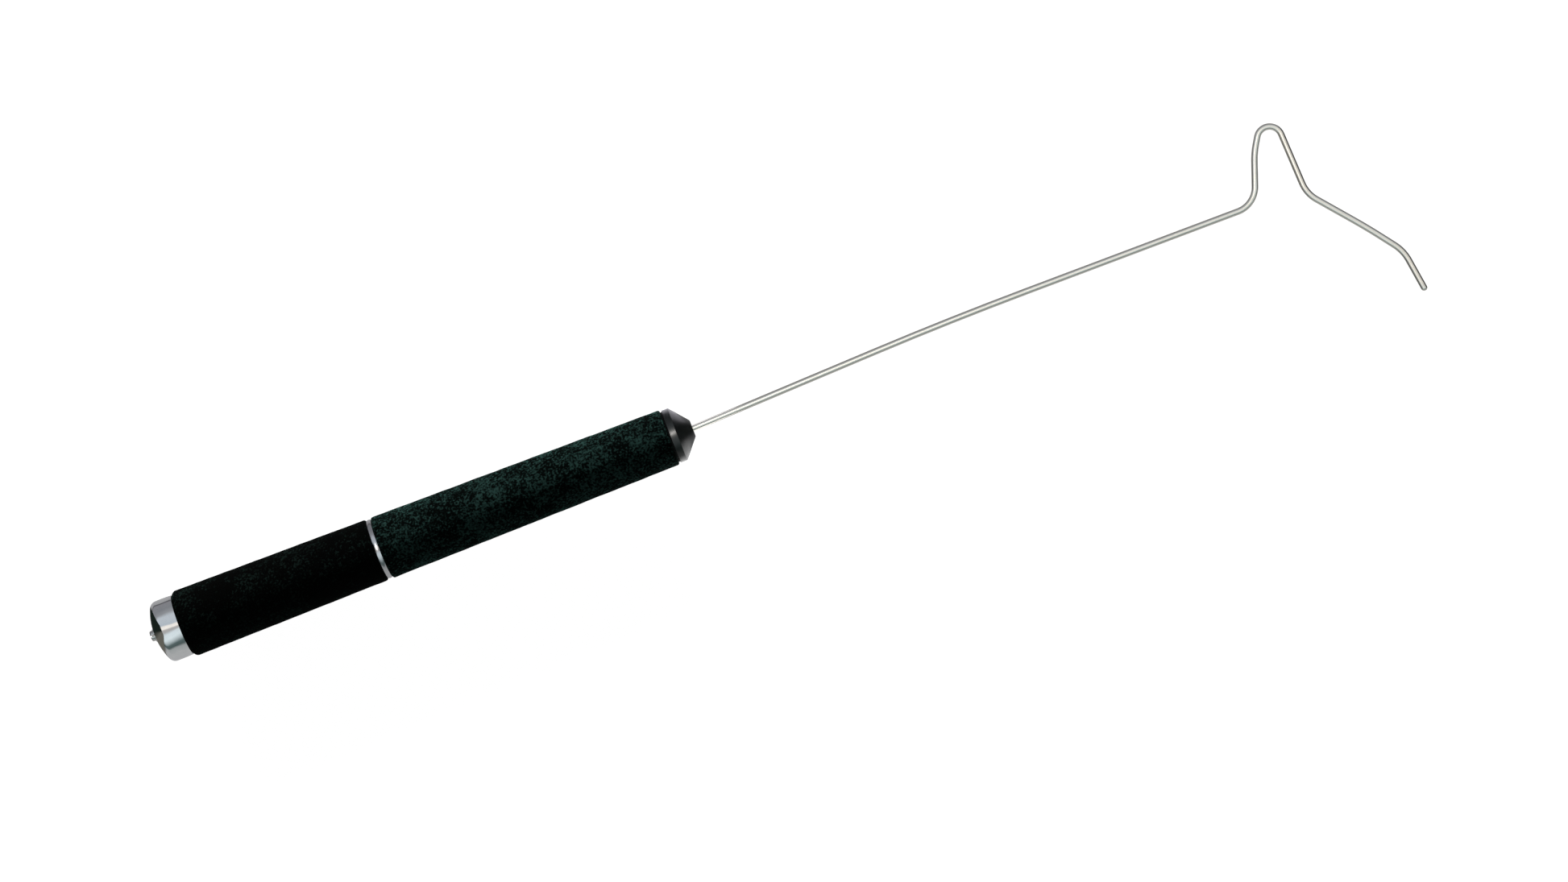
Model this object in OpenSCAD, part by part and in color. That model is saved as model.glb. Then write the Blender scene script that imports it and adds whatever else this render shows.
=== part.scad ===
// Wire hook retriever: one bent wire with a U-shaped catch and a slanted lead-in arm,
// held in a straight hand grip of two foam sleeves on a metal tube.
// Units are millimetres. +X runs along the handle towards the hook, the hook lies flat
// in the XY plane with its catch towards +Y, and +Z is up.
// The origin is on the handle's axis, where the butt cap meets the rear grip.

/* [Wire] */
// Diameter of the wire
wire_d = 3.2; // [2.8:0.1:3.6]
// Length of wire held inside the handle
tang_l = 90; // [86:1:120]
// Length of the long straight stretch between the nose and the hook
reach_l = 108.5; // [60:0.5:300]
// Centreline radius at the top of the catch
catch_r = 6; // [5:0.5:12]
// Straight length of the slanted lead-in arm before its slight sag
arm_l = 20; // [5:0.5:60]
// Straight length of the turned-down tip
tip_l = 15; // [8:0.5:40]

/* [Grips] */
// Diameter of the foam at the butt end
butt_d = 32.8; // [31:0.2:38]
// Diameter of the foam at the nose end
nose_end_d = 27.7; // [27.2:0.1:30.4]
// Length of the rear grip
rear_grip_l = 99.2; // [60:0.1:140]
// Length of the front grip
front_grip_l = 147; // [110:0.5:200]
// Radius of the foam's soft corner at the butt end
butt_corner = 2.5; // [1:0.25:3]
// Radius of the foam's corners beside the trim ring
ring_corner = 1; // [0.5:0.25:2.5]
// Radius of the foam's corner at the nose
nose_corner = 1; // [0.5:0.25:2.5]

/* [Trim ring] */
// Width of the ring between the grips
ring_w = 2.6; // [1.5:0.1:5]
// How far the ring stays below the foam on each side
ring_set_in = 0.5; // [0:0.1:1]

/* [Butt cap] */
// Diameter of the cap
cap_d = 30.6; // [28:0.2:31]
// Length of the cap's straight side
cap_skirt_l = 8.4; // [6:0.2:14]
// Radius of the shallow dome that closes the cap
cap_dome_r = 32.7; // [26:0.1:60]
// Radius of the edge between side and dome
cap_edge_r = 3.5; // [2:0.1:4]
// Wall thickness of the cap
cap_wall = 1.5; // [1:0.1:1.8]

/* [Nose] */
// Diameter of the nose band
nose_band_d = 26.5; // [25.4:0.1:27.2]
// Length of the nose band
nose_band_l = 3.4; // [2:0.1:6]
// Length of the cone in front of the band
nose_cone_l = 7.7; // [4:0.1:20]
// Diameter of the flat at the tip of the cone
nose_tip_d = 8.3; // [6:0.1:12]
// Thickness of the gasket behind the nose
gasket_t = 0.8; // [0.5:0.1:1.5]
// Diameter of the gasket
gasket_d = 25.4; // [22:0.1:25.4]

/* [Inside] */
// Outer diameter of the handle tube
tube_d = 19; // [18.6:0.1:20]
// Wall thickness of the handle tube
tube_wall = 1.5; // [1.3:0.1:1.7]
// Length of the bush behind the nose, which grips the wire with two screws
front_bush_l = 30; // [26:1:34]
// Length of the bush at the wire's tail, which grips it with one screw
tail_bush_l = 12; // [8:1:14]
// Length of the threaded plug in the butt end of the tube
rear_plug_l = 18; // [17:1:30]
// Nominal diameter of the set screws
set_screw_d = 4; // [3:0.5:4]
// Diameter of the cross pin that holds the threaded plug
plug_pin_d = 2.5; // [2:0.5:3]
// Nominal diameter of the butt screw
butt_screw_d = 3; // [2.5:0.5:3]
// Length of the butt screw under its head
butt_screw_l = 24; // [20:1:25]

/* [Hidden] */

$fn = 96;
// Diametral play where one piece slides into another
play = 0.04;
// Extra length on every cutter so that it passes through the faces it cuts
over = 1;

// Places along the handle
ring_x = rear_grip_l;
front_grip_x = ring_x + ring_w;
grip_end_x = front_grip_x + front_grip_l;
band_x = grip_end_x + gasket_t;
cone_x = band_x + nose_band_l;
nose_tip_x = cone_x + nose_cone_l;

// The tube and what is pressed into it
tube_bore = tube_d - 2*tube_wall;
insert_d = tube_bore - play;
spigot_l = 13.6;
front_bush_x = band_x - spigot_l - front_bush_l;
tail_x = nose_tip_x - tang_l;
tail_bush_x = tail_x + 2;
flange_t = 2;
plug_pin_x = 14;
plug_pin_l = tube_d - 0.4;

// Set screws stand across the wire and bear on its top
front_screw_inset = 7;
set_screw_xs = [
  tail_bush_x + tail_bush_l/2,
  front_bush_x + front_screw_inset,
  front_bush_x + front_bush_l - front_screw_inset
];
set_screw_l = 7.8;
set_screw_key = 2;
set_screw_key_depth = 2;
set_screw_z = wire_d/2;

// Butt cap, washer and screw, from the cap's own arcs
cap_r = cap_d/2;
dome_x = sqrt(pow(cap_dome_r - cap_edge_r, 2) - pow(cap_r - cap_edge_r, 2)) - cap_skirt_l;
dome_end_x = dome_x - cap_dome_r;
washer_d = 6.4;
washer_t = 0.5;
spotface_x = dome_x - sqrt(pow(cap_dome_r, 2) - pow(washer_d/2 + 0.1, 2));
screw_seat_x = spotface_x - washer_t;
screw_head_d = 5.2;
screw_head_h = 1.6;
screw_slot_w = 0.8;
screw_slot_depth = 0.8;
screw_hole_d = butt_screw_d + 0.4;
boss_d = 12;

// The wire from its tail outwards: [straight length, turn in degrees, centreline radius of
// the bend that ends it]. A positive turn is towards +Y.
WIRE_BENDS = [
  [tang_l, 1.8, 60],
  [93, -2.2, 2000],
  [reach_l, 70.5, 12.5],
  [12, -12, 40],
  [3.5, -146, catch_r],
  [25.5, 37.5, 16],
  [arm_l, -3, 300],
  [7.5, -28.5, 20],
  [tip_l, 0, 0]
];

// How finely the wire is drawn: sides of its section, degrees of bend between two rings,
// and rings in its rounded end
wire_sides = 24;
bend_step = 5;
tip_rings = 5;

// Radius of the tapered foam at a place along the handle
function foam_r(x) = butt_d/2 - (butt_d - nose_end_d)/2 * x/grip_end_x;

// A station on the wire's centreline is [x, y, heading, radius of the wire there].
// The station a length further on, straight ahead
function ahead(s, l) = [s[0] + l*cos(s[2]), s[1] + l*sin(s[2]), s[2], s[3]];

// The station after a bend: c is the direction of the bend's centre
function bent(s, turn, r) =
  let (c = s[2] + 90*sign(turn))
  [s[0] + r*(cos(c) - cos(c + turn)), s[1] + r*(sin(c) - sin(c + turn)), s[2] + turn, s[3]];

// The stations of the rounded end, which closes in on the last one
function rounded_end(s) = [
  for (k = [1 : tip_rings])
    let (a = 85*k/tip_rings, e = ahead(s, s[3]*sin(a)))
    [e[0], e[1], e[2], s[3]*cos(a)]
];

// All stations after s: each straight's end, then the steps round its bend
function stations_after(s, i = 0) =
  let (
    turn = WIRE_BENDS[i][1],
    r = WIRE_BENDS[i][2],
    e = ahead(s, WIRE_BENDS[i][0]),
    steps = max(4, ceil(abs(turn)/bend_step))
  )
  turn == 0
    ? concat([e], rounded_end(e))
    : concat(
        [e],
        [for (k = [1 : steps]) bent(e, turn*k/steps, r)],
        stations_after(bent(e, turn, r), i + 1)
      );

// The ring of points round a station
function ring(s) = [
  for (k = [0 : wire_sides - 1])
    let (a = 360*k/wire_sides)
    [s[0] - s[3]*cos(a)*sin(s[2]), s[1] + s[3]*cos(a)*cos(s[2]), s[3]*sin(a)]
];

// Stands what is built upwards along the handle instead, from the given place
module along_x(x = 0) {
  translate([x, 0, 0])
    rotate([0, 90, 0])
      children();
}

// A rod along the handle
module rod_x(x, d, l) {
  along_x(x) cylinder(d = d, h = l);
}

// The bent wire: a round section carried along its centreline
module hook_rod() {
  start = [tail_x, 0, 0, wire_d/2];
  stations = concat([start], stations_after(start));
  rings = len(stations);
  color("lightsteelblue")
    polyhedron(
      points = [for (s = stations) each ring(s)],
      faces = concat(
        [[for (k = [0 : wire_sides - 1]) k]],
        [
          for (i = [0 : rings - 2], k = [0 : wire_sides - 1])
            let (next = (k + 1) % wire_sides, a = i*wire_sides, b = a + wire_sides)
            [a + k, b + k, b + next, a + next]
        ],
        [[for (k = [wire_sides - 1 : -1 : 0]) (rings - 1)*wire_sides + k]]
      )
    );
}

// A foam sleeve between two places, following the taper, with outer corners rounded by c0 and c1
module foam_sleeve(x0, x1, c0, c1) {
  r0 = foam_r(x0);
  r1 = foam_r(x1);
  along_x()
    rotate_extrude() {
      polygon([
        [tube_d/2, x0],
        [r0 - c0, x0],
        [r0, x0 + c0],
        [r1, x1 - c1],
        [r1 - c1, x1],
        [tube_d/2, x1]
      ]);
      translate([r0 - c0, x0 + c0]) circle(c0);
      translate([r1 - c1, x1 - c1]) circle(c1);
    }
}

module rear_grip() {
  color([0.05, 0.07, 0.07]) foam_sleeve(0, ring_x, butt_corner, ring_corner);
}

module front_grip() {
  color([0.06, 0.10, 0.10]) foam_sleeve(front_grip_x, grip_end_x, ring_corner, nose_corner);
}

// Metal ring with a crowned rim, clamped between the two foam sleeves
module trim_ring() {
  crown = 0.4;
  ring_r = foam_r(ring_x + ring_w/2) - ring_set_in;
  crown_r = (pow(ring_w/2, 2) + pow(crown, 2))/(2*crown);
  color("silver")
    along_x(ring_x)
      difference() {
        rotate_extrude()
          intersection() {
            square([ring_r, ring_w]);
            union() {
              square([ring_r - crown, ring_w]);
              translate([ring_r - crown_r, ring_w/2]) circle(crown_r);
            }
          }
        translate([0, 0, -over]) cylinder(d = tube_d, h = ring_w + 2*over);
      }
}

// The tube that carries the grips, from the threaded plug's flange to the nose gasket
module handle_tube() {
  color("gainsboro")
    difference() {
      rod_x(0, tube_d, grip_end_x);
      rod_x(-over, tube_bore, grip_end_x + 2*over);
      for (x = set_screw_xs)
        translate([x, 0, 0]) cylinder(d = set_screw_d + play, h = tube_d);
      translate([plug_pin_x, -tube_d, 0])
        rotate([-90, 0, 0]) cylinder(d = plug_pin_d + play, h = 2*tube_d);
    }
}

// A bush inside the tube, bored for the wire and tapped across for its set screws
module wire_bush(x, l, screw_xs) {
  color("darkgray")
    difference() {
      rod_x(x, insert_d, l);
      rod_x(x - over, wire_d + play, l + 2*over);
      for (screw_x = screw_xs)
        translate([screw_x, 0, 0]) cylinder(d = set_screw_d + play, h = tube_d);
    }
}

module front_bush() {
  wire_bush(front_bush_x, front_bush_l, [set_screw_xs[1], set_screw_xs[2]]);
}

module tail_bush() {
  wire_bush(tail_bush_x, tail_bush_l, [set_screw_xs[0]]);
}

// Flat-ended set screws with a hexagon socket, each standing on the wire
module set_screws() {
  color("dimgray")
    for (x = set_screw_xs)
      translate([x, 0, set_screw_z])
        difference() {
          cylinder(d = set_screw_d, h = set_screw_l);
          translate([0, 0, set_screw_l - set_screw_key_depth])
            cylinder(d = set_screw_key/cos(30), h = set_screw_key_depth + over, $fn = 6);
        }
}

// Black nose: a spigot in the tube, a band as wide as the foam and a cone down to the wire
module nose_cone() {
  color([0.05, 0.06, 0.06])
    along_x()
      rotate_extrude()
        polygon([
          [(wire_d + play)/2, band_x - spigot_l],
          [insert_d/2, band_x - spigot_l],
          [insert_d/2, band_x],
          [nose_band_d/2, band_x],
          [nose_band_d/2, cone_x],
          [nose_tip_d/2, nose_tip_x],
          [(wire_d + play)/2, nose_tip_x]
        ]);
}

// Flat gasket squeezed between the nose and the ends of foam and tube
module nose_gasket() {
  color("black")
    difference() {
      rod_x(grip_end_x, gasket_d, gasket_t);
      rod_x(grip_end_x - over, tube_bore, gasket_t + 2*over);
    }
}

// Threaded plug in the butt end of the tube, with a flange that the cap's boss sits on
module rear_plug() {
  color("darkgray")
    difference() {
      union() {
        rod_x(-flange_t, tube_d, flange_t);
        rod_x(0, insert_d, rear_plug_l);
      }
      rod_x(-flange_t - over, butt_screw_d + play, rear_plug_l + flange_t + 2*over);
      translate([plug_pin_x, -tube_d, 0])
        rotate([-90, 0, 0]) cylinder(d = plug_pin_d + play, h = 2*tube_d);
    }
}

module plug_pin() {
  color("slategray")
    translate([plug_pin_x, -plug_pin_l/2, 0])
      rotate([-90, 0, 0]) cylinder(d = plug_pin_d, h = plug_pin_l);
}

// Half section of the closed cap shape, shrunk all round by inset: side, edge and dome
module cap_section(inset) {
  side_r = cap_r - inset;
  edge_y = cap_r - cap_edge_r;
  dome_r = cap_dome_r - inset;
  reach = 2*cap_dome_r;
  lean = asin(edge_y/(cap_dome_r - cap_edge_r));
  intersection() {
    union() {
      translate([0, -cap_skirt_l]) square([side_r, cap_skirt_l + over]);
      translate([edge_y, -cap_skirt_l]) circle(cap_edge_r - inset);
      intersection() {
        translate([0, dome_x]) circle(dome_r);
        polygon([[0, dome_x], [reach*sin(lean), dome_x - reach*cos(lean)], [0, -reach]]);
      }
      polygon([[0, 0], [edge_y, 0], [edge_y, -cap_skirt_l], [0, -cap_skirt_l - cap_edge_r + inset]]);
    }
    translate([0, -reach]) square([cap_d, reach + (inset > 0 ? over : 0)]);
  }
}

// Plated cap: a thin shell with a boss inside for the screw
module butt_cap() {
  color("silver")
    difference() {
      union() {
        difference() {
          along_x() rotate_extrude($fn = 180) cap_section(0);
          along_x() rotate_extrude($fn = 180) cap_section(cap_wall);
        }
        rod_x(dome_end_x + cap_wall/2, boss_d, -flange_t - dome_end_x - cap_wall/2);
      }
      rod_x(dome_end_x - over, screw_hole_d, cap_r);
      rod_x(spotface_x - over, washer_d + 0.2, over);
    }
}

module butt_washer() {
  color("silver")
    difference() {
      rod_x(screw_seat_x, washer_d, washer_t);
      rod_x(screw_seat_x - over, screw_hole_d, washer_t + 2*over);
    }
}

// Slotted screw that clamps the cap: its low head is rounded at the rim
module butt_screw() {
  head_round = 0.6;
  color("lightgray")
    difference() {
      union() {
        rod_x(screw_seat_x, butt_screw_d, butt_screw_l);
        along_x(screw_seat_x - screw_head_h)
          rotate_extrude() {
            square([screw_head_d/2 - head_round, screw_head_h]);
            translate([0, head_round]) square([screw_head_d/2, screw_head_h - head_round]);
            translate([screw_head_d/2 - head_round, head_round]) circle(head_round);
          }
      }
      translate([screw_seat_x - screw_head_h - over, -screw_slot_w/2, -screw_head_d])
        cube([screw_slot_depth + over, screw_slot_w, 2*screw_head_d]);
    }
}

hook_rod();
nose_cone();
nose_gasket();
front_grip();
trim_ring();
rear_grip();
handle_tube();
front_bush();
tail_bush();
set_screws();
rear_plug();
plug_pin();
butt_cap();
butt_washer();
butt_screw();
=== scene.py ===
"""The looks of a wire hook retriever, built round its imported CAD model.

Blender works in metres, in the CAD frame: +X runs along the handle towards the hook, the
hook lies flat in the XY plane, and +Z is up. Sizes below are in millimetres, as a person
would measure them, and mm turns them into metres.
"""

import math

import bpy
import bmesh
from mathutils import Euler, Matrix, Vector, noise


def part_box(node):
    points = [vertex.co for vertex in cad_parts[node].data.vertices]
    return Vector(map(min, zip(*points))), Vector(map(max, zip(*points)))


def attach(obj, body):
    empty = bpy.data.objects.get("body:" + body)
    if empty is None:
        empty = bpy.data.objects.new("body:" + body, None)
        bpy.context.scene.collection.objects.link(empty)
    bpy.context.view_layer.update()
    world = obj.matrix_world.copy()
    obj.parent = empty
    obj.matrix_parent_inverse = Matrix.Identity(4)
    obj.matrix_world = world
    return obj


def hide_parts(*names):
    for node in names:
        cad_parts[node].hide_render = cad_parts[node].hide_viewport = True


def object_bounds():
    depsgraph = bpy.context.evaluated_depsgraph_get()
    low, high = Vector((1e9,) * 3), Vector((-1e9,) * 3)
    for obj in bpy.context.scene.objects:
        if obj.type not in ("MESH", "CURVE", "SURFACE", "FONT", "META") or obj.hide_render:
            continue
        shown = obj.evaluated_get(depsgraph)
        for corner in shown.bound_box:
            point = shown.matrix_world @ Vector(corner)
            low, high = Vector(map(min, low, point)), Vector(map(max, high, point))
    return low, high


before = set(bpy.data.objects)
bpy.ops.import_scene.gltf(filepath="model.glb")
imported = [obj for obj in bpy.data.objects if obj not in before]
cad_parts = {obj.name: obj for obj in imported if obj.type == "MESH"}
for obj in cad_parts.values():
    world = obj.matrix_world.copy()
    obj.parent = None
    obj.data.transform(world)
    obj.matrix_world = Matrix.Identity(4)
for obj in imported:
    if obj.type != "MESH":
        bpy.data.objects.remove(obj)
cad_low, cad_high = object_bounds()

mm = 0.001

# ---------------------------------------------------------------------------
# Sizes that the boxes of the CAD nodes don't give
# ---------------------------------------------------------------------------

# The wire from its tail outwards: [straight length, turn in degrees, centreline radius of
# the bend that ends it]. A positive turn is towards +Y.
WIRE_BENDS = [
    (90, 1.8, 60),
    (93, -2.2, 2000),
    (108.5, 70.5, 12.5),
    (12, -12, 40),
    (3.5, -146, 6),
    (25.5, 37.5, 16),
    (20, -3, 300),
    (7.5, -28.5, 20),
    (15, 0, 0),
]

BUTT_FOAM_D = 32.8
NOSE_FOAM_D = 27.7
BUTT_FOAM_CORNER = 2.5
FOAM_CORNER = 1.0
TUBE_D = 19.0

CAP_SKIRT_L = 8.4
CAP_DOME_R = 32.7
CAP_EDGE_R = 3.5
CAP_WALL = 1.5
CAP_BOSS_D = 12.0
CAP_BOSS_END = -2.0
CAP_RIM_TUCK = 0.25
SCREW_HOLE_D = 3.4

RING_CROWN = 0.4
NOSE_BAND_L = 3.4
NOSE_TIP_D = 8.3
NOSE_BORE_D = 3.24
GASKET_BORE_D = 16.0

SCREW_HEAD_H = 1.6
SCREW_D = 3.0
SCREW_SLOT_W = 0.8
SCREW_SLOT_DEPTH = 0.8
SCREW_HEAD_ROUND = 0.6


# ---------------------------------------------------------------------------
# Camera and stage
# ---------------------------------------------------------------------------

def make_camera():
    """Looks straight down on the flat-lying tool, turned so that the handle rises to the right."""
    data = bpy.data.cameras.new("camera")
    data.lens = 111
    data.sensor_width = 36
    data.clip_end = 200
    camera = bpy.data.objects.new("camera", data)
    camera.location = (299.2*mm, -21.3*mm, 2308*mm)
    camera.rotation_euler = Euler((0, 0, math.radians(-21.05)))
    bpy.context.scene.collection.objects.link(camera)
    bpy.context.scene.camera = camera


# ---------------------------------------------------------------------------
# Shader helpers
# ---------------------------------------------------------------------------

def add(tree, kind, settings=None, **inputs):
    """Adds a shader node. Each input is either a value or the output socket to join to it."""
    made = tree.nodes.new("ShaderNode" + kind)
    for name, value in (settings or {}).items():
        setattr(made, name, value)
    for name, value in inputs.items():
        join(tree, made.inputs[name.replace("_", " ")], value)
    return made


def join(tree, socket, value):
    """Sets a socket to a value, or joins another node's output to it."""
    if isinstance(value, bpy.types.NodeSocket):
        tree.links.new(value, socket)
    else:
        socket.default_value = value


def math_node(tree, operation, *values):
    """The output of a math node on one, two or three values."""
    made = tree.nodes.new("ShaderNodeMath")
    made.operation = operation
    for socket, value in zip(made.inputs, values):
        join(tree, socket, value)
    return made.outputs[0]


def ramp(tree, factor, stops):
    """A straight-line colour ramp through (place, grey or colour) stops."""
    made = tree.nodes.new("ShaderNodeValToRGB")
    elements = made.color_ramp.elements
    while len(elements) < len(stops):
        elements.new(1)
    for element, (place, colour) in zip(elements, stops):
        element.position = place
        element.color = rgba(colour)
    join(tree, made.inputs["Fac"], factor)
    return made.outputs["Color"]


def rgba(colour):
    """A grey or a colour as four numbers."""
    if isinstance(colour, (int, float)):
        colour = (colour, colour, colour)
    return (*colour, 1)


def mix(tree, factor, first, second):
    """A blend of two colours."""
    made = tree.nodes.new("ShaderNodeMix")
    made.data_type = "RGBA"
    join(tree, made.inputs[0], factor)
    for socket, colour in ((made.inputs[6], first), (made.inputs[7], second)):
        join(tree, socket, colour if isinstance(colour, bpy.types.NodeSocket) else rgba(colour))
    return made.outputs[2]


def grain(tree, where, size, detail=3.0, roughness=0.55, stretch=(1, 1, 1)):
    """Noise with features about size millimetres across, longer where stretch is above 1."""
    scaled = add(tree, "VectorMath", {"operation": "MULTIPLY"})
    join(tree, scaled.inputs[0], where)
    scaled.inputs[1].default_value = [1/times for times in stretch]
    made = add(
        tree, "TexNoise",
        Vector=scaled.outputs[0], Scale=1/(size*mm), Detail=detail, Roughness=roughness,
    )
    return made.outputs["Fac"]


def bump(tree, height, depth, below=None):
    """A bump of depth millimetres, on top of another bump if one is given."""
    made = add(tree, "Bump", Height=height, Distance=depth*mm, Strength=1.0)
    if below is not None:
        join(tree, made.inputs["Normal"], below)
    return made.outputs["Normal"]


def new_material(name, **finish):
    """A material with its principled shader's plain sockets set. Returns it with its tree."""
    material = bpy.data.materials.new(name)
    material.use_nodes = True
    tree = material.node_tree
    shader = tree.nodes["Principled BSDF"]
    for socket, value in finish.items():
        shader.inputs[socket.replace("_", " ")].default_value = value
    where = tree.nodes.new("ShaderNodeTexCoord").outputs["Object"]
    return material, tree, shader, where


# ---------------------------------------------------------------------------
# Materials
# ---------------------------------------------------------------------------

def foam_material(name, dark, fleck, first, full):
    """Cut closed-cell foam: a fine open grain, with greenish flecks that gather in cloudy patches.

    first and full are the heights in the pattern at which flecks begin and are at their brightest.
    """
    coarse_share = 0.26
    speck_share = 0.48
    cell_size = 0.45
    material, tree, shader, where = new_material(
        name, Roughness=0.95, Diffuse_Roughness=1.0, Specular_IOR_Level=0.02,
    )
    cloud = grain(tree, where, 18, detail=3, roughness=0.55)
    blotch = grain(tree, where, 3.0, detail=2, roughness=0.5)
    speck = grain(tree, where, 1.0, detail=1, roughness=0.5)
    pattern = math_node(tree, "MULTIPLY", cloud, coarse_share)
    pattern = math_node(tree, "MULTIPLY_ADD", blotch, coarse_share, pattern)
    pattern = math_node(tree, "MULTIPLY_ADD", speck, speck_share, pattern)
    share = ramp(tree, pattern, [(first, 0.0), (full, 1.0)])
    join(tree, shader.inputs["Base Color"], mix(tree, share, dark, fleck))
    cells = add(tree, "TexVoronoi", {"feature": "SMOOTH_F1"}, Vector=where, Scale=1/(cell_size*mm))
    cell_depth = math_node(tree, "MULTIPLY", cells.outputs["Distance"], -1.0)
    pits = bump(tree, cell_depth, 0.05)
    join(tree, shader.inputs["Normal"], bump(tree, grain(tree, where, 0.8, detail=5), 0.16, pits))
    return material


def wire_material():
    """Drawn stainless wire: fine lines along it, and slightly uneven polish."""
    material, tree, shader, where = new_material("drawn_steel", Metallic=1.0)
    lie = tree.nodes.new("ShaderNodeUVMap")
    lie.uv_map = "lie"
    lines = grain(tree, lie.outputs["UV"], 1.0, detail=2, stretch=(14, 0.12, 1))
    patches = grain(tree, where, 9, detail=3)
    tone = ramp(tree, lines, [(0.3, (0.88, 0.85, 0.77)), (0.7, (0.95, 0.92, 0.85))])
    tarnish = ramp(tree, patches, [(0.45, 0.0), (0.75, 0.4)])
    join(tree, shader.inputs["Base Color"], mix(tree, tarnish, tone, (0.84, 0.80, 0.70)))
    rough = math_node(tree, "MULTIPLY_ADD", patches, 0.14, 0.24)
    join(tree, shader.inputs["Roughness"], rough)
    join(tree, shader.inputs["Normal"], bump(tree, lines, 0.002))
    return material


def polished_cap_material():
    """Bright plating with faint swirls, hairline scratches and a few dull spots."""
    material, tree, shader, where = new_material("polished_plate", Metallic=1.0)
    swirl = grain(tree, where, 4, detail=2)
    hairs = grain(tree, where, 0.12, detail=2, stretch=(1, 22, 22))
    spots = grain(tree, where, 1.6, detail=4, roughness=0.7)
    clean = ramp(tree, swirl, [(0.3, (0.80, 0.81, 0.82)), (0.7, (0.86, 0.865, 0.87))])
    dull = ramp(tree, spots, [(0.62, 0.0), (0.74, 0.5)])
    join(tree, shader.inputs["Base Color"], mix(tree, dull, clean, (0.62, 0.62, 0.60)))
    worn = math_node(tree, "MULTIPLY_ADD", hairs, 0.10, 0.03)
    rough = math_node(tree, "MULTIPLY_ADD", dull, 0.15, worn)
    join(tree, shader.inputs["Roughness"], rough)
    join(tree, shader.inputs["Normal"], bump(tree, hairs, 0.0015))
    return material


def turned_material(name, light, shade, rough, line_depth):
    """Turned metal: tool lines run round the handle's axis."""
    material, tree, shader, where = new_material(name, Metallic=1.0)
    lines = grain(tree, where, 0.14, detail=3, stretch=(1, 60, 60))
    patches = grain(tree, where, 3, detail=3)
    tone = mix(tree, lines, shade, light)
    worn = math_node(tree, "MULTIPLY", patches, 0.4)
    join(tree, shader.inputs["Base Color"], mix(tree, worn, tone, shade))
    join(tree, shader.inputs["Roughness"], math_node(tree, "MULTIPLY_ADD", lines, 0.18, rough))
    join(tree, shader.inputs["Normal"], bump(tree, lines, line_depth))
    return material


def drawn_tube_material():
    """Extruded aluminium: long die lines along the tube."""
    material, tree, shader, where = new_material("extruded_aluminium", Metallic=1.0)
    lines = grain(tree, where, 0.25, detail=3, stretch=(90, 1, 1))
    patches = grain(tree, where, 6, detail=3)
    tone = mix(tree, lines, (0.62, 0.63, 0.64), (0.78, 0.79, 0.80))
    join(tree, shader.inputs["Base Color"], mix(tree, patches, tone, (0.60, 0.61, 0.62)))
    join(tree, shader.inputs["Roughness"], math_node(tree, "MULTIPLY_ADD", patches, 0.2, 0.28))
    join(tree, shader.inputs["Normal"], bump(tree, lines, 0.004))
    return material


def nose_material():
    """Gloss black, turned smooth: faint rings round the axis, and rub marks."""
    material, tree, shader, where = new_material(
        "gloss_black", IOR=1.5, Specular_IOR_Level=0.5, Coat_Weight=0.05, Coat_Roughness=0.15,
    )
    rings = grain(tree, where, 0.18, detail=2, stretch=(1, 50, 50))
    rubs = grain(tree, where, 2.4, detail=5, roughness=0.65)
    worn = ramp(tree, rubs, [(0.52, 0.0), (0.78, 1.0)])
    tone = mix(tree, worn, (0.0015, 0.0035, 0.0030), (0.007, 0.012, 0.011))
    join(tree, shader.inputs["Base Color"], tone)
    rough = math_node(tree, "MULTIPLY_ADD", worn, 0.08, 0.28)
    join(tree, shader.inputs["Roughness"], math_node(tree, "MULTIPLY_ADD", rings, 0.06, rough))
    join(tree, shader.inputs["Normal"], bump(tree, rings, 0.003))
    return material


def rubber_material():
    """Matt black rubber sheet, faintly dusty."""
    material, tree, shader, where = new_material("black_rubber", Specular_IOR_Level=0.25)
    dust = grain(tree, where, 0.6, detail=5, roughness=0.7)
    tone = mix(tree, dust, (0.002, 0.002, 0.002), (0.011, 0.012, 0.012))
    join(tree, shader.inputs["Base Color"], tone)
    join(tree, shader.inputs["Roughness"], math_node(tree, "MULTIPLY_ADD", dust, 0.25, 0.6))
    join(tree, shader.inputs["Normal"], bump(tree, dust, 0.03))
    return material


# ---------------------------------------------------------------------------
# Mesh helpers
# ---------------------------------------------------------------------------

def add_piece(name, bm, material, node, smooth_below=35):
    """Turns a bmesh into a piece of the object that stands for a CAD node.

    Edges sharper than smooth_below, in degrees, stay crisp.
    """
    bmesh.ops.recalc_face_normals(bm, faces=bm.faces)
    mesh = bpy.data.meshes.new(name)
    bm.to_mesh(mesh)
    bm.free()
    piece = bpy.data.objects.new(name, mesh)
    bpy.context.scene.collection.objects.link(piece)
    mesh.materials.append(material)
    mesh.shade_smooth()
    mesh.set_sharp_from_angle(angle=math.radians(smooth_below))
    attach(piece, "root")
    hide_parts(node)
    return piece


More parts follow.
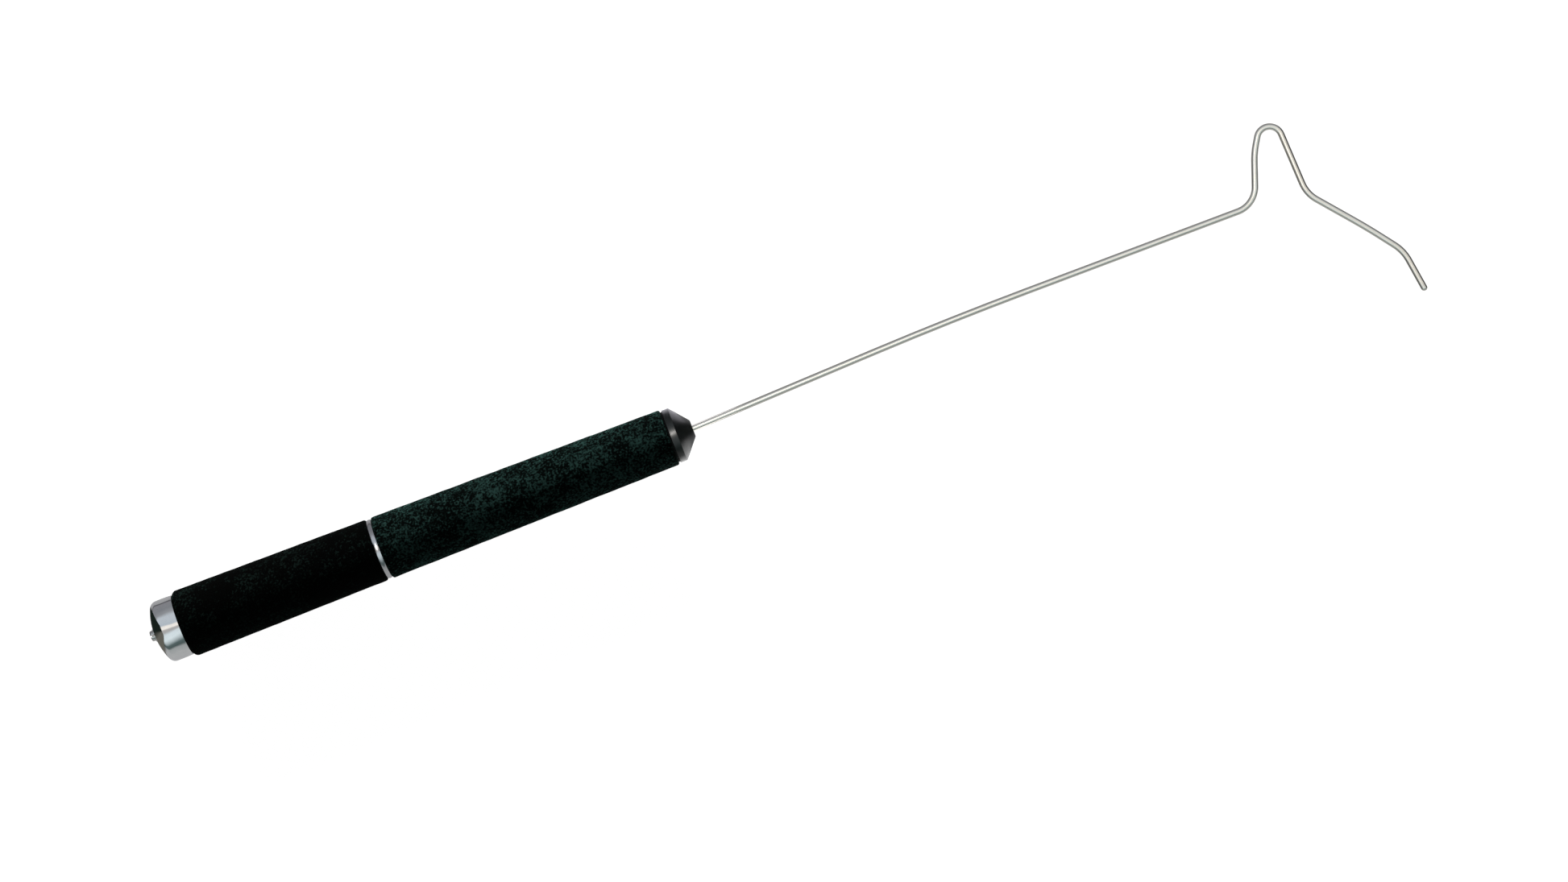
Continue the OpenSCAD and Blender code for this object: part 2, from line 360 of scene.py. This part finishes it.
def rounded(corners, step=15):
    """The outline through (x, r, fillet) corners, in millimetres, each fillet an arc."""
    points = []
    for k, (x, r, fillet) in enumerate(corners):
        here = Vector((x, r))
        if fillet == 0:
            points.append((x, r))
            continue
        before = (Vector(corners[k - 1][:2]) - here).normalized()
        after = (Vector(corners[(k + 1) % len(corners)][:2]) - here).normalized()
        half = before.angle(after)/2
        centre = here + (before + after).normalized()*fillet/math.sin(half)
        start = here + before*fillet/math.tan(half) - centre
        sweep = start.angle_signed(here + after*fillet/math.tan(half) - centre)
        count = max(2, round(math.degrees(abs(sweep))/step))
        for i in range(count + 1):
            a = -sweep*i/count
            spoke = Vector((
                start.x*math.cos(a) - start.y*math.sin(a),
                start.x*math.sin(a) + start.y*math.cos(a),
            ))
            points.append(tuple(centre + spoke))
    return points


def arc(centre, radius, first, last, step):
    """Points (x, r) round a centre, from one angle to another in degrees: 0 points along r."""
    count = max(1, math.ceil(abs(last - first)/step))
    turns = [math.radians(first + (last - first)*k/count) for k in range(count + 1)]
    return [(centre[0] - radius*math.sin(a), centre[1] + radius*math.cos(a)) for a in turns]


def spun(outline, sides, relief=None, closed=True):
    """A bmesh of an outline of (x, r) points, in millimetres, turned round the handle's axis.

    relief(x, r, turn) is how far a point is moved outwards, in millimetres.
    """
    bm = bmesh.new()
    rings = []
    for k in range(sides):
        turn = 2*math.pi*k/sides
        ring = []
        for x, r in outline:
            out = r + relief(x, r, turn) if relief and r > 0 else r
            ring.append(bm.verts.new((x*mm, out*math.cos(turn)*mm, out*math.sin(turn)*mm)))
        rings.append(ring)
    last = len(outline) if closed else len(outline) - 1
    for k in range(sides):
        here, beside = rings[k], rings[(k + 1) % sides]
        for i in range(last):
            j = (i + 1) % len(outline)
            bm.faces.new((here[i], here[j], beside[j], beside[i]))
    if not closed:
        bmesh.ops.remove_doubles(bm, verts=bm.verts, dist=1e-7)
    return bm


def node_x(node):
    """Where a CAD node begins and ends along the handle, in millimetres."""
    low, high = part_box(node)
    return low.x/mm, high.x/mm


def node_r(node):
    """The largest radius of a round CAD node, in millimetres."""
    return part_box(node)[1].z/mm


# ---------------------------------------------------------------------------
# The bent wire
# ---------------------------------------------------------------------------

def wire_stations(start_x, radius):
    """Stations on the wire's centreline: (point, heading in radians, section radius, way, tight).

    way is the distance from the tail, and tight is how tight the bend is there: 0 on a straight.
    """
    here = Vector((start_x, 0, 0))
    heading = 0.0
    way = 0.0
    chamfer = 0.3
    spacing = 3
    degrees_apart = 3
    stations = [
        (here.copy(), heading, radius - chamfer, way, 0),
        (here + Vector((chamfer, 0, 0)), heading, radius, chamfer, 0),
    ]
    for straight, turn, bend_r in WIRE_BENDS:
        ahead = Vector((math.cos(heading), math.sin(heading), 0))
        steps = max(2, round(straight/spacing))
        for k in range(1, steps + 1):
            along = straight*k/steps
            stations.append((here + ahead*along, heading, radius, way + along, 0))
        here = here + ahead*straight
        way += straight
        if turn == 0:
            break
        side = math.copysign(1, turn)
        to_centre = heading + side*math.pi/2
        centre = here + Vector((math.cos(to_centre), math.sin(to_centre), 0))*bend_r
        steps = max(4, math.ceil(abs(turn)/degrees_apart))
        for k in range(1, steps + 1):
            bent = math.radians(turn)*k/steps
            spoke = to_centre + math.pi + bent
            point = centre + Vector((math.cos(spoke), math.sin(spoke), 0))*bend_r
            tight = math.sin(math.pi*k/steps)*radius/bend_r
            stations.append((point, heading + bent, radius, way + abs(bent)*bend_r, tight))
        here = point
        heading += math.radians(turn)
        way += math.radians(abs(turn))*bend_r
    return stations


def rounded_tip(stations, steps=8):
    """The stations that close the wire in a rounded end."""
    point, heading, radius, way, _ = stations[-1]
    ahead = Vector((math.cos(heading), math.sin(heading), 0))
    for k in range(1, steps):
        a = math.pi/2*k/steps
        reach = radius*math.sin(a)
        stations.append((point + ahead*reach, heading, radius*math.cos(a), way + reach, 0))
    return point + ahead*radius


def make_wire():
    """The wire, swept along its centreline and faintly flattened where it is bent tightly."""
    sides = 36
    flattening = 0.06
    radius = node_r("hook_rod")
    stations = wire_stations(node_x("hook_rod")[0], radius)
    tip = rounded_tip(stations)
    bm = bmesh.new()
    lie = bm.loops.layers.uv.new("lie")
    rings = []
    ways = []
    for point, heading, size, way, tight in stations:
        across = Vector((-math.sin(heading), math.cos(heading), 0))
        ring = []
        for k in range(sides):
            turn = 2*math.pi*k/sides
            flat = size*(1 - flattening*tight)*math.cos(turn)
            tall = size*math.sin(turn)
            ring.append(bm.verts.new((point + across*flat + Vector((0, 0, tall)))*mm))
        rings.append(ring)
        ways.append(way)
    girth = 2*math.pi*radius*mm
    for i in range(len(rings) - 1):
        for k in range(sides):
            j = (k + 1) % sides
            face = bm.faces.new((rings[i][k], rings[i + 1][k], rings[i + 1][j], rings[i][j]))
            places = ((i, k), (i + 1, k), (i + 1, k + 1), (i, k + 1))
            for loop, (row, side) in zip(face.loops, places):
                loop[lie].uv = (ways[row]*mm, girth*side/sides)
    bm.faces.new(list(reversed(rings[0])))
    pole = bm.verts.new(tip*mm)
    for k in range(sides):
        bm.faces.new((rings[-1][k], pole, rings[-1][(k + 1) % sides]))
    return add_piece("bent_wire", bm, wire_material(), "hook_rod")


# ---------------------------------------------------------------------------
# The handle
# ---------------------------------------------------------------------------

def foam_radius(x):
    """The radius of the tapered foam, in millimetres."""
    end_x = node_x("front_grip")[1]
    return BUTT_FOAM_D/2 - (BUTT_FOAM_D - NOSE_FOAM_D)/2*x/end_x


def foam_relief(seed):
    """The unevenness of cut foam: soft waves, a rubbed grain, and no movement in the bore."""
    wave_length = 6
    wave_height = 0.10
    grain_length = 1.4
    grain_height = 0.05
    swell = 0.05

    def relief(x, r, turn):
        if r < TUBE_D/2 + 1:
            return 0
        place = Vector((x, r*math.cos(turn), r*math.sin(turn)))
        shift = Vector((seed, 0, 0))
        waves = noise.noise(place/wave_length + shift)*wave_height
        rubbed = noise.noise(place/grain_length + shift)*grain_height
        return waves + rubbed + swell
    return relief


def make_foam(name, node, material, seed, corner0, corner1):
    """A foam sleeve: tapered outside, with a rounded corner at each end and a plain bore."""
    spacing = 0.6
    sides = 168
    x0, x1 = node_x(node)
    bore = TUBE_D/2
    top0 = foam_radius(x0)
    top1 = foam_radius(x1)
    length = x1 - x0 - corner0 - corner1
    count = round(length/spacing)
    outer = [x0 + corner0 + length*k/count for k in range(1, count)]
    outline = [(x0, bore), (x0, (bore + top0)/2)]
    outline += reversed(arc((x0 + corner0, top0 - corner0), corner0, 0, 90, 15))
    outline += [(x, foam_radius(x)) for x in outer]
    outline += reversed(arc((x1 - corner1, top1 - corner1), corner1, -90, 0, 15))
    outline += [(x1, (bore + top1)/2), (x1, bore)]
    piece = add_piece(name, spun(outline, sides, foam_relief(seed)), material, node, 60)
    return piece


def make_ring():
    """The trim ring with its crowned rim and tiny edge breaks."""
    edge_break = 0.08
    x0, x1 = node_x("trim_ring")
    width = x1 - x0
    crown_r = ((width/2)**2 + RING_CROWN**2)/(2*RING_CROWN)
    centre = ((x0 + x1)/2, node_r("trim_ring") - crown_r)
    lean = math.degrees(math.asin((width/2 - edge_break)/crown_r))
    bore = TUBE_D/2
    crown = arc(centre, crown_r, lean, -lean, 4)
    edge = crown[0][1]
    outline = [(x0, bore), (x0, edge - edge_break), *crown, (x1, edge - edge_break), (x1, bore)]
    material = turned_material("satin_ring", (0.70, 0.70, 0.71), (0.54, 0.54, 0.56), 0.10, 0.003)
    return add_piece("trim_band", spun(outline, 144), material, "trim_ring", 50)


def cap_waves(x, r, turn):
    """The waviness of thin polished metal, fading out towards the screw, and the tucked-in rim."""
    wave_length = 9
    wave_height = 0.30
    inset = 0.08
    still_r = 5
    fade = 3
    tuck_l = 5
    inside_r = 12
    if r < still_r:
        return 0
    place = Vector((x/wave_length, r*math.cos(turn)/wave_length, r*math.sin(turn)/wave_length))
    tuck = CAP_RIM_TUCK*max(0, 1 + x/tuck_l)**2 if r > inside_r else 0
    waves = noise.noise(place + Vector((3.7, 0, 0)))*wave_height*min(1, (r - still_r)/fade)
    return waves - inset - tuck


def make_cap():
    """The domed butt cap: a thin shell with a rounded rim and a boss inside."""
    rim_round = 0.4
    rows = 14
    hole_break = 0.15
    r = node_r("butt_cap")
    spot_x = node_x("butt_cap")[0]
    edge = (-CAP_SKIRT_L, r - CAP_EDGE_R)
    lean = math.asin(edge[1]/(CAP_DOME_R - CAP_EDGE_R))
    dome_x = edge[0] + math.cos(lean)*(CAP_DOME_R - CAP_EDGE_R)
    edge_turn = 90 - math.degrees(lean)
    spot_r = math.sqrt(CAP_DOME_R**2 - (dome_x - spot_x)**2)
    spot_turn = 90 - math.degrees(math.asin(spot_r/CAP_DOME_R))
    inside_dome_r = CAP_DOME_R - CAP_WALL
    boss_r = CAP_BOSS_D/2
    boss_turn = 90 - math.degrees(math.asin(boss_r/inside_dome_r))
    skirt = [(-CAP_SKIRT_L*k/rows, r) for k in range(1, rows)]
    outline = [
        *arc((-rim_round, r - rim_round), rim_round, -90, 0, 15),
        *skirt,
        *arc(edge, CAP_EDGE_R, 0, edge_turn, 6),
        *arc((dome_x, 0), CAP_DOME_R, edge_turn, spot_turn, 1.2)[1:],
        (spot_x, SCREW_HOLE_D/2 + hole_break),
        (spot_x + hole_break, SCREW_HOLE_D/2),
        (CAP_BOSS_END, SCREW_HOLE_D/2),
        (CAP_BOSS_END, boss_r),
        *reversed(arc((dome_x, 0), inside_dome_r, edge_turn, boss_turn, 3)),
        *reversed(arc(edge, CAP_EDGE_R - CAP_WALL, 0, edge_turn, 15)),
        (0, r - CAP_WALL),
    ]
    bm = spun(outline, 180, cap_waves)
    return add_piece("domed_cap", bm, polished_cap_material(), "butt_cap", 40)


def make_nose():
    """The nose: spigot, band and blunt cone, with fine edge breaks."""
    x0, tip_x = node_x("nose_cone")
    band_x = node_x("nose_gasket")[1]
    cone_x = band_x + NOSE_BAND_L
    fit_gap = 0.02
    spigot_r = GASKET_BORE_D/2 - fit_gap
    band_r = node_r("nose_cone")
    bore = NOSE_BORE_D/2
    outline = rounded([
        (x0, bore, 0),
        (x0, spigot_r, 0.4),
        (band_x, spigot_r, 0),
        (band_x, band_r, 0.3),
        (cone_x, band_r, 0.3),
        (tip_x, NOSE_TIP_D/2, 0.35),
        (tip_x, bore, 0.2),
    ])
    return add_piece("nose_turning", spun(outline, 144), nose_material(), "nose_cone", 40)


def make_gasket():
    """The gasket, its rim bulging a little where it is squeezed."""
    x0, x1 = node_x("nose_gasket")
    r = node_r("nose_gasket")
    bulge = (x1 - x0)/2
    outline = [
        (x0, GASKET_BORE_D/2),
        *reversed(arc(((x0 + x1)/2, r - bulge), bulge, -90, 90, 15)),
        (x1, GASKET_BORE_D/2),
    ]
    return add_piece("squeezed_gasket", spun(outline, 120), rubber_material(), "nose_gasket", 60)


def make_washer(material):
    """The washer under the butt screw, with its stamped edges."""
    x0, x1 = node_x("butt_washer")
    r = node_r("butt_washer")
    bore = SCREW_HOLE_D/2
    outline = rounded([(x0, bore, 0.1), (x0, r, 0.18), (x1, r, 0), (x1, bore, 0)])
    return add_piece("stamped_washer", spun(outline, 72), material, "butt_washer", 40)


def make_screw(material):
    """The butt screw: a low rounded head with a milled slot, and a grooved shank."""
    x0, x1 = node_x("butt_screw")
    r = node_r("butt_screw")
    seat = x0 + SCREW_HEAD_H
    pitch = 0.5
    depth = 0.3
    plain_l = 1
    point_l = 0.5
    turns = round((x1 - seat - 2*plain_l)/pitch)
    outline = [(x0, 0), (x0, (r - SCREW_HEAD_ROUND)/2)]
    corner = (x0 + SCREW_HEAD_ROUND, r - SCREW_HEAD_ROUND)
    outline += reversed(arc(corner, SCREW_HEAD_ROUND, 0, 90, 15))
    outline += [(seat, r), (seat, SCREW_D/2)]
    for k in range(turns):
        start = seat + plain_l + k*pitch
        outline += [(start, SCREW_D/2), (start + pitch/2, SCREW_D/2 - depth)]
    outline += [(x1 - point_l, SCREW_D/2), (x1, SCREW_D/2 - point_l), (x1, 0)]
    piece = add_piece("slotted_screw", spun(outline, 64, closed=False), material, "butt_screw", 30)
    mill_slot(piece, x0)
    return piece


def mill_slot(piece, x0):
    """Cuts the slot across the screw's head, along Z."""
    bm = bmesh.new()
    bmesh.ops.create_cube(bm, size=1)
    overrun = 1
    length = 8
    for v in bm.verts:
        v.co.x = (x0 + SCREW_SLOT_DEPTH if v.co.x > 0 else x0 - overrun)*mm
        v.co.y *= SCREW_SLOT_W*mm
        v.co.z *= length*mm
    mesh = bpy.data.meshes.new("slot_cutter")
    bm.to_mesh(mesh)
    bm.free()
    cutter = bpy.data.objects.new("slot_cutter", mesh)
    bpy.context.scene.collection.objects.link(cutter)
    boolean = piece.modifiers.new("slot", "BOOLEAN")
    boolean.object = cutter
    boolean.solver = "EXACT"
    bevel = piece.modifiers.new("edges", "BEVEL")
    bevel.width = 0.06*mm
    bevel.segments = 2
    bevel.angle_limit = math.radians(60)
    bpy.context.view_layer.update()
    cut = piece.evaluated_get(bpy.context.evaluated_depsgraph_get())
    finished = bpy.data.meshes.new_from_object(cut)
    piece.modifiers.clear()
    piece.data = finished
    bpy.data.objects.remove(cutter)


# ---------------------------------------------------------------------------
# Light
# ---------------------------------------------------------------------------

# What polished parts mirror round the handle's axis: (degrees from overhead towards +Y, colour)
STUDIO = [
    (-180, (0.44, 0.44, 0.45)),
    (-100, (0.44, 0.45, 0.45)),
    (-77, (0.36, 0.38, 0.38)),
    (-67, (0.08, 0.11, 0.11)),
    (-54, (0.10, 0.14, 0.14)),
    (-40, (0.50, 0.57, 0.59)),
    (-28, (0.76, 0.86, 0.89)),
    (-13, (0.74, 0.83, 0.87)),
    (-6, (0.44, 0.44, 0.44)),
    (0, (0.50, 0.48, 0.47)),
    (5, (1.05, 1.00, 0.93)),
    (14, (0.98, 0.93, 0.87)),
    (19, (0.52, 0.58, 0.64)),
    (50, (0.56, 0.61, 0.66)),
    (62, (0.32, 0.33, 0.35)),
    (80, (0.24, 0.25, 0.27)),
    (113, (0.25, 0.25, 0.27)),
    (117, (0.10, 0.10, 0.11)),
    (121, (0.10, 0.10, 0.11)),
    (127, (0.38, 0.38, 0.39)),
    (180, (0.44, 0.44, 0.45)),
]


def make_world(backdrop, ambient):
    """The studio: banded soft boxes for reflections, dim light for matt parts, a pale backdrop.

    The soft boxes are short. Reflections that look steeply along the handle's axis miss them, and
    fade nearly to black from box_end to past_end, where 1 is straight along the axis.
    """
    box_end = 0.72
    past_end = 0.93
    darkest = 0.9
    world = bpy.data.worlds.new("studio")
    bpy.context.scene.world = world
    world.use_nodes = True
    tree = world.node_tree
    background = tree.nodes["Background"]
    way = tree.nodes.new("ShaderNodeTexCoord").outputs["Generated"]
    parts = tree.nodes.new("ShaderNodeSeparateXYZ")
    join(tree, parts.inputs[0], way)
    turn = math_node(tree, "ARCTAN2", parts.outputs["Y"], parts.outputs["Z"])
    place = math_node(tree, "MULTIPLY_ADD", turn, 1/(2*math.pi), 0.5)
    bands = ramp(tree, place, [(0.5 + a/360, colour) for a, colour in STUDIO])
    far = math_node(tree, "ABSOLUTE", parts.outputs["X"])
    bands = mix(tree, ramp(tree, far, [(box_end, 0.0), (past_end, darkest)]), bands, 0.0)
    rays = tree.nodes.new("ShaderNodeLightPath").outputs
    lit = mix(tree, rays["Is Glossy Ray"], ambient, bands)
    join(tree, background.inputs["Color"], mix(tree, rays["Is Camera Ray"], lit, backdrop))


def make_lamp(name, place, length, width, power, colour, pieces):
    """A soft box along the handle that gives only the named pieces their highlight.

    place, length and width are in metres, and power is in watts.
    """
    data = bpy.data.lights.new(name, "AREA")
    data.shape = "RECTANGLE"
    data.size = length
    data.size_y = width
    data.energy = power
    data.color = colour
    lamp = bpy.data.objects.new(name, data)
    lamp.location = place
    target = (cad_low + cad_high)/2
    lamp.rotation_euler = (target - Vector(place)).to_track_quat("-Z", "Y").to_euler()
    bpy.context.scene.collection.objects.link(lamp)
    light_only(lamp, pieces)


def make_side_light(name, source, spread, power, pieces):
    """Broad light from the direction of source, over an angle in degrees, on the named pieces."""
    data = bpy.data.lights.new(name, "SUN")
    data.angle = math.radians(spread)
    data.energy = power
    lamp = bpy.data.objects.new(name, data)
    lamp.rotation_euler = Vector(source).to_track_quat("Z", "Y").to_euler()
    bpy.context.scene.collection.objects.link(lamp)
    light_only(lamp, pieces)


def light_only(lamp, pieces):
    """Lets a lamp light nothing but the named pieces."""
    lit = bpy.data.collections.new(lamp.name + "_lights")
    for piece in pieces:
        lit.objects.link(piece)
    lamp.light_linking.receiver_collection = lit


def make_floor():
    """A wide white floor just under the foam.

    It glows, so that the shadow on it stays faint, but neither lights the tool nor shows in it.
    """
    half = 40000*mm
    gap = 0.1*mm
    z = cad_low.z - gap
    mesh = bpy.data.meshes.new("floor")
    corners = [(-half, -half, z), (half, -half, z), (half, half, z), (-half, half, z)]
    mesh.from_pydata(corners, [], [(0, 1, 2, 3)])
    floor = bpy.data.objects.new("floor", mesh)
    bpy.context.scene.collection.objects.link(floor)
    material, tree, shader, where = new_material(
        "pale_floor", Roughness=0.9, Specular_IOR_Level=0.1,
        Emission_Color=(1, 1, 1, 1), Emission_Strength=0.97,
    )
    soft = grain(tree, where, 60, detail=2)
    join(tree, shader.inputs["Base Color"], mix(tree, soft, (0.30, 0.30, 0.30), (0.33, 0.33, 0.33)))
    mesh.materials.append(material)
    floor.visible_glossy = False
    floor.visible_diffuse = False
    return floor


def make_card(name, corners, across, light):
    """A card that only reflections see. Its glow goes through (y in millimetres, colour) stops.

    Its corners are in millimetres, and light is how strongly it glows.
    """
    reach = 400*mm
    mesh = bpy.data.meshes.new(name)
    mesh.from_pydata([[c*mm for c in corner] for corner in corners], [], [(0, 1, 2, 3)])
    card = bpy.data.objects.new(name, mesh)
    bpy.context.scene.collection.objects.link(card)
    material, tree, shader, where = new_material(
        name, Base_Color=(0, 0, 0, 1), Specular_IOR_Level=0.0, Emission_Strength=light,
    )
    parts = tree.nodes.new("ShaderNodeSeparateXYZ")
    join(tree, parts.inputs[0], where)
    place = math_node(tree, "MULTIPLY_ADD", parts.outputs["Y"], 0.5/reach, 0.5)
    glow = ramp(tree, place, [(0.5 + 0.5*y*mm/reach, colour) for y, colour in across])
    join(tree, shader.inputs["Emission Color"], glow)
    mesh.materials.append(material)
    card.visible_camera = False
    card.visible_diffuse = False
    card.visible_shadow = False


def make_cards():
    """A dark card off the butt end and white ones beside the nose, to shape what they mirror.

    The dark card leans towards the cap. The white ones rise from the floor on both sides of the
    nose, so that its band and cone mirror them, and only the first stretch of the wire does.
    """
    butt_gap = 110
    lean = 40
    x0 = cad_low.x/mm - butt_gap
    x1 = x0 + lean
    flag = [(x0, -54, -300), (x0, 105, -300), (x1, 105, 250), (x1, -54, 250)]
    dark = [(-6, (0.14, 0.135, 0.115)), (6, (0.010, 0.016, 0.013))]
    make_card("flag", flag, dark, 1.0)

    behind_tip = 14
    tip_x = node_x("nose_cone")[1]
    back = tip_x - behind_tip
    z = cad_low.z/mm + 0.3
    near = [(back, -62, z), (tip_x + 30, -62, 2), (tip_x + 30, -14, 2), (back, -14, z)]
    make_card("near_bounce", near, [(-20, (1.0, 1.0, 1.0)), (-14, (0.7, 0.7, 0.7))], 1.9)
    away = [(back, 50, z), (tip_x + 22, 50, -4), (tip_x + 22, 14, -4), (back, 14, z)]
    make_card("far_bounce", away, [(14, (0.95, 0.93, 1.0)), (50, (0.9, 0.9, 1.0))], 1.5)


# ---------------------------------------------------------------------------
# Everything
# ---------------------------------------------------------------------------


make_camera()

rear_foam = foam_material(
    "rear_foam_cells", (0.0003, 0.0005, 0.0004), (0.0080, 0.0170, 0.0142), first=0.53, full=0.63,
)
front_foam = foam_material(
    "front_foam_cells", (0.0009, 0.0022, 0.0018), (0.0290, 0.0740, 0.0640), first=0.47, full=0.61,
)
bright = turned_material("bright_steel", (0.82, 0.81, 0.79), (0.66, 0.65, 0.63), 0.14, 0.003)
turned = turned_material("turned_aluminium", (0.80, 0.80, 0.81), (0.62, 0.62, 0.63), 0.26, 0.008)
blackened = turned_material("blackened_steel", (0.060, 0.062, 0.068), (0.025, 0.026, 0.030), 0.30, 0.004)
tube_metal = drawn_tube_material()

wire = make_wire()
rear = make_foam("rear_foam_sleeve", "rear_grip", rear_foam, 0, BUTT_FOAM_CORNER, FOAM_CORNER)
front = make_foam("front_foam_sleeve", "front_grip", front_foam, 40, FOAM_CORNER, FOAM_CORNER)
ring = make_ring()
make_cap()
nose = make_nose()
make_gasket()
make_washer(bright)
make_screw(bright)

# The pieces inside the handle keep their CAD shape and only get their metal.
KEPT_NODES = {
    "handle_tube": tube_metal,
    "front_bush": turned,
    "tail_bush": turned,
    "rear_plug": turned,
    "plug_pin": bright,
    "set_screws": blackened,
}
for node, material in KEPT_NODES.items():
    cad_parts[node].material_slots[0].material = material

floor = make_floor()
make_cards()
make_world(backdrop=1.0, ambient=0.03)
make_side_light("far_side", (0, 0.995, 0.07), 36, 8.0, [rear, front, floor])
make_side_light("near_side", (0, -0.96, 0.27), 50, 0.75, [rear, front, floor])
make_lamp("handle_key", (0.15, 0.46, 2.3), 0.8, 0.32, 26, (1.0, 0.97, 0.92), [nose, ring])
make_lamp("wire_key", (0.05, 0.30, 2.3), 0.8, 0.40, 4.5, (1.0, 0.93, 0.86), [wire])

bpy.context.scene.view_settings.view_transform = "Standard"
